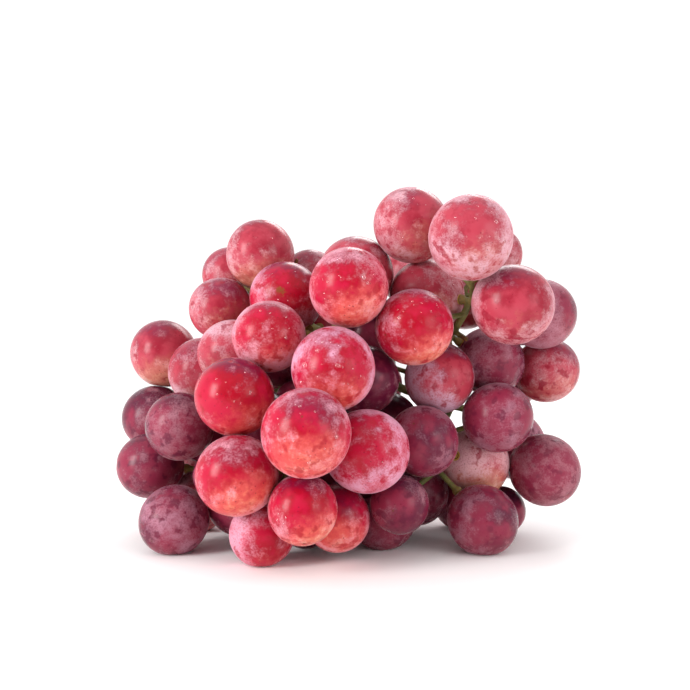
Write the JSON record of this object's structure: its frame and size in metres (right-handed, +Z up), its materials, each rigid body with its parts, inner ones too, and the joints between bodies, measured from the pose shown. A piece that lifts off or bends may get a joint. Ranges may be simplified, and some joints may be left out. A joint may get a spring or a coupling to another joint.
{
  "type": "bunch of grapes",
  "caption": "Bunch of large round red table grapes lying on a surface, with a hanging tail at the front and a cut green stem at the back.",
  "frame": {"origin": "on the surface that the bunch rests on, under the middle of its box", "axes": "+Z up, +X along the bunch's width to its right shoulder, and -Y towards the tail at the front"},
  "size_m": [0.18, 0.1508, 0.1305],
  "materials": {
    "skin_crimson": "thin waxy bloom over clear crimson skin, half gloss where it is rubbed off",
    "skin_rose": "rose to salmon skin under a pale, mottled waxy bloom",
    "skin_purple": "darker purple-red skin under a mauve waxy bloom",
    "green_stem": "green to olive, slightly ridged, brown at the cut end and the collars",
    "dew": "small clear water drops on some berries"
  },
  "bodies": {
    "root": {"berry_back_1": "skin_rose", "berry_back_2": "skin_rose", "berry_back_3": "skin_rose", "berry_back_4": "skin_rose", "berry_back_5": "skin_rose", "berry_back_6": "skin_rose", "berry_back_7": "skin_rose", "berry_belly_1": "skin_purple", "berry_belly_2": "skin_purple", "berry_belly_3": "skin_purple", "berry_crown_1": "skin_rose", "berry_crown_2": "skin_rose", "berry_crown_3": "skin_rose", "berry_crown_4": "skin_rose", "berry_crown_5": "skin_rose", "berry_left_shoulder_1": "skin_rose", "berry_left_shoulder_2": "skin_rose", "berry_left_shoulder_3": "skin_rose", "berry_left_shoulder_4": "skin_rose", "berry_left_shoulder_5": "skin_rose", "berry_left_wing_1": "skin_crimson", "berry_left_wing_10": "skin_crimson", "berry_left_wing_11": "skin_crimson", "berry_left_wing_2": "skin_crimson", "berry_left_wing_3": "skin_crimson", "berry_left_wing_4": "skin_crimson", "berry_left_wing_5": "skin_crimson", "berry_left_wing_6": "skin_crimson", "berry_left_wing_7": "skin_crimson", "berry_left_wing_8": "skin_crimson", "berry_left_wing_9": "skin_crimson", "berry_right_shoulder_1": "skin_rose", "berry_right_shoulder_2": "skin_rose", "berry_right_shoulder_3": "skin_rose", "berry_right_shoulder_4": "skin_rose", "berry_right_shoulder_5": "skin_rose", "berry_right_shoulder_6": "skin_rose", "berry_right_shoulder_7": "skin_rose", "berry_right_shoulder_8": "skin_rose", "berry_right_shoulder_9": "skin_rose", "berry_right_wing_1": "skin_purple", "berry_right_wing_10": "skin_purple", "berry_right_wing_11": "skin_purple", "berry_right_wing_2": "skin_purple", "berry_right_wing_3": "skin_purple", "berry_right_wing_4": "skin_purple", "berry_right_wing_5": "skin_purple", "berry_right_wing_6": "skin_purple", "berry_right_wing_7": "skin_purple", "berry_right_wing_8": "skin_purple", "berry_right_wing_9": "skin_purple", "berry_tail_1": "skin_crimson", "berry_tail_2": "skin_crimson", "berry_tail_3": "skin_crimson", "berry_tail_4": "skin_crimson", "berry_tail_5": "skin_crimson", "berry_tail_6": "skin_crimson", "berry_tail_7": "skin_crimson", "berry_tail_8": "skin_crimson", "stem": "green_stem"}
  },
  "joints": []
}
